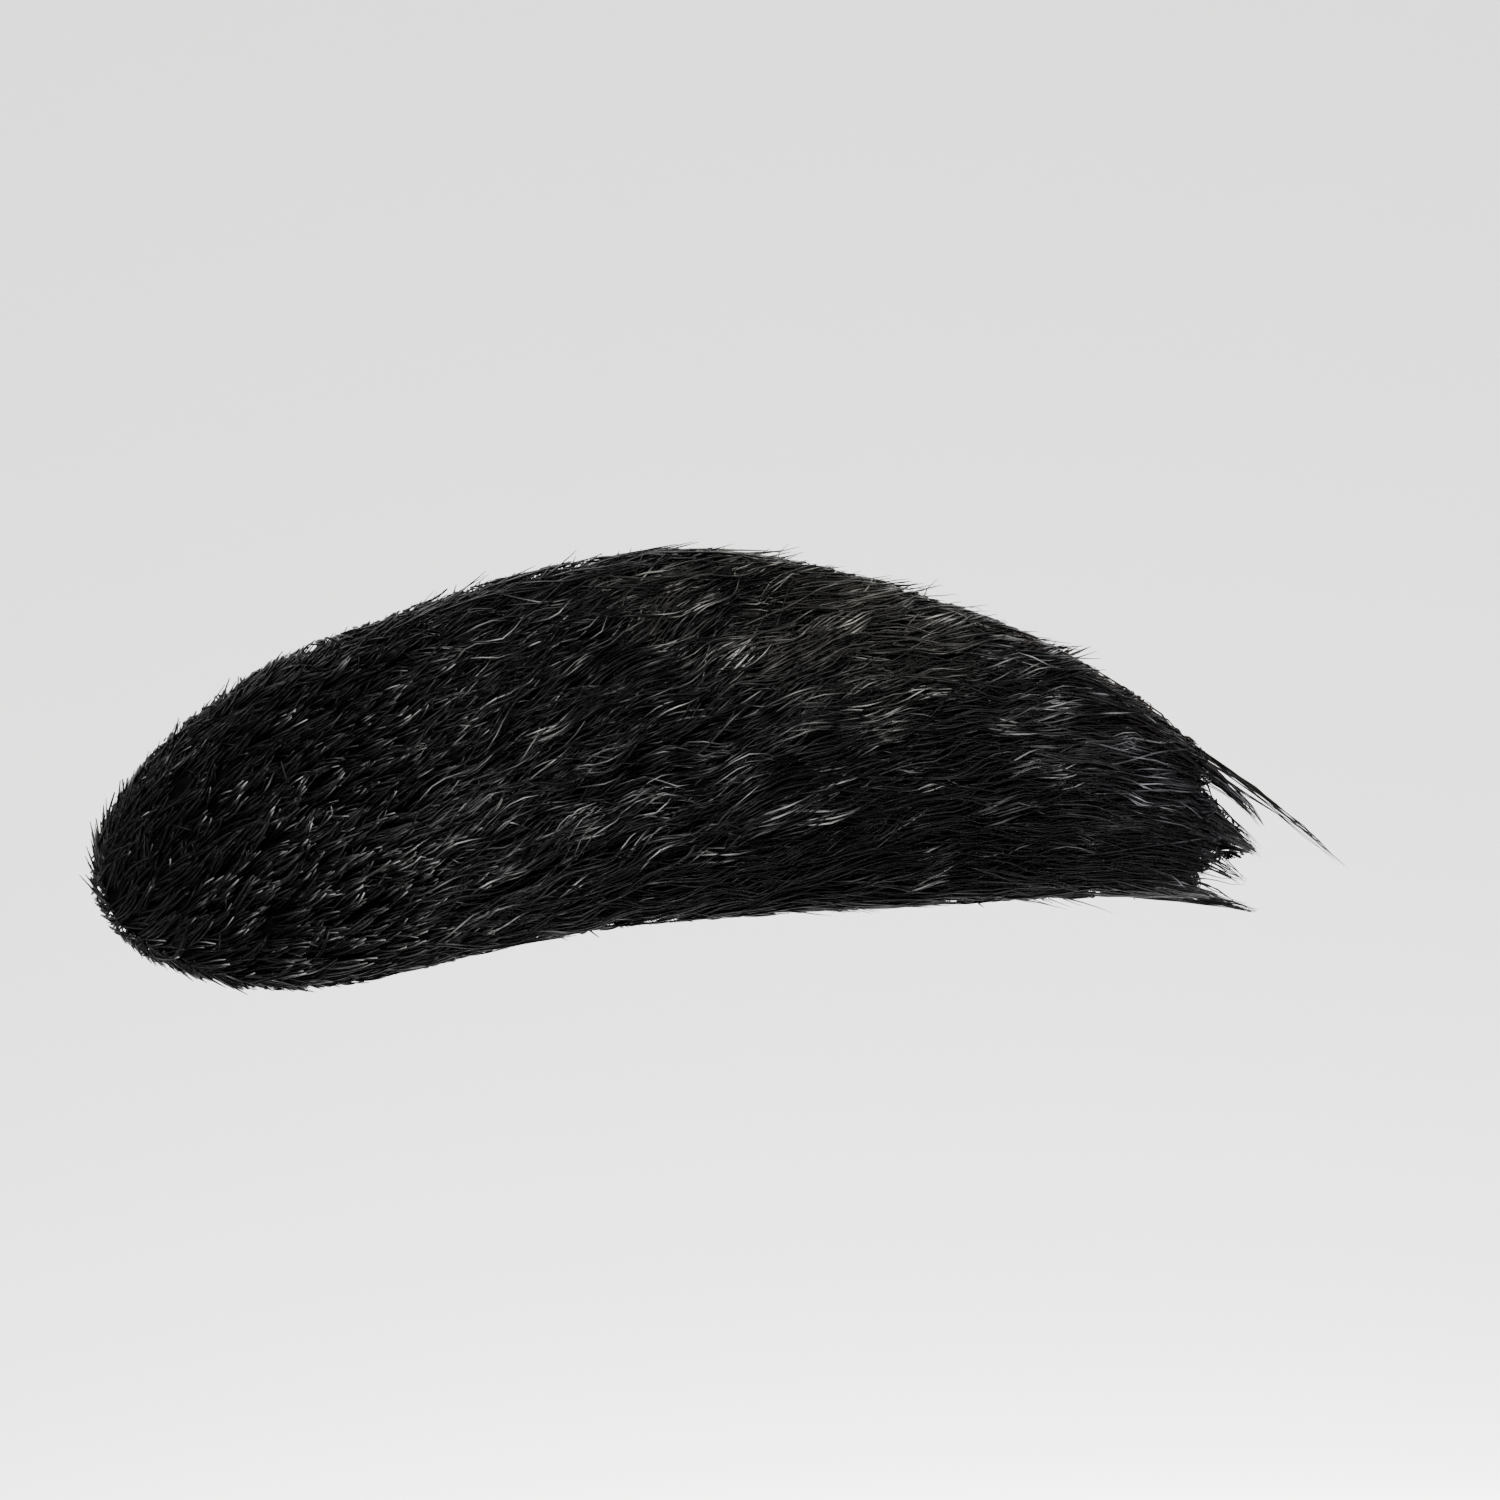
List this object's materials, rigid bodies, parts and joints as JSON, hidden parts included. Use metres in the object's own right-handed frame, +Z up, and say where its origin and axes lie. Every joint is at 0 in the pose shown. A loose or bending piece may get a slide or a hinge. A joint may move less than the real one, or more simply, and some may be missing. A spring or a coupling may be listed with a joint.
{
  "type": "fake eyebrow",
  "caption": "Thick stick-on costume eyebrow, curved as worn: a deep pile of combed hair over a fabric backing with an adhesive sheet behind, round at the inner end and pointed at the outer.",
  "frame": {"origin": "the point of the surface that the eyebrow is stuck to, behind the middle of its length, at the back face of the adhesive", "axes": "+X along the eyebrow towards its pointed outer tip, -Y away from the surface it is stuck to, the way the hair faces, +Z up as worn"},
  "size_m": [0.0665, 0.013, 0.0212],
  "materials": {
    "hair": "black synthetic hair with a soft sheen",
    "backing": "black knitted fabric",
    "adhesive": "cream double-sided tape"
  },
  "bodies": {
    "root": {"hair": "hair", "backing": "backing", "adhesive": "adhesive"}
  },
  "joints": []
}
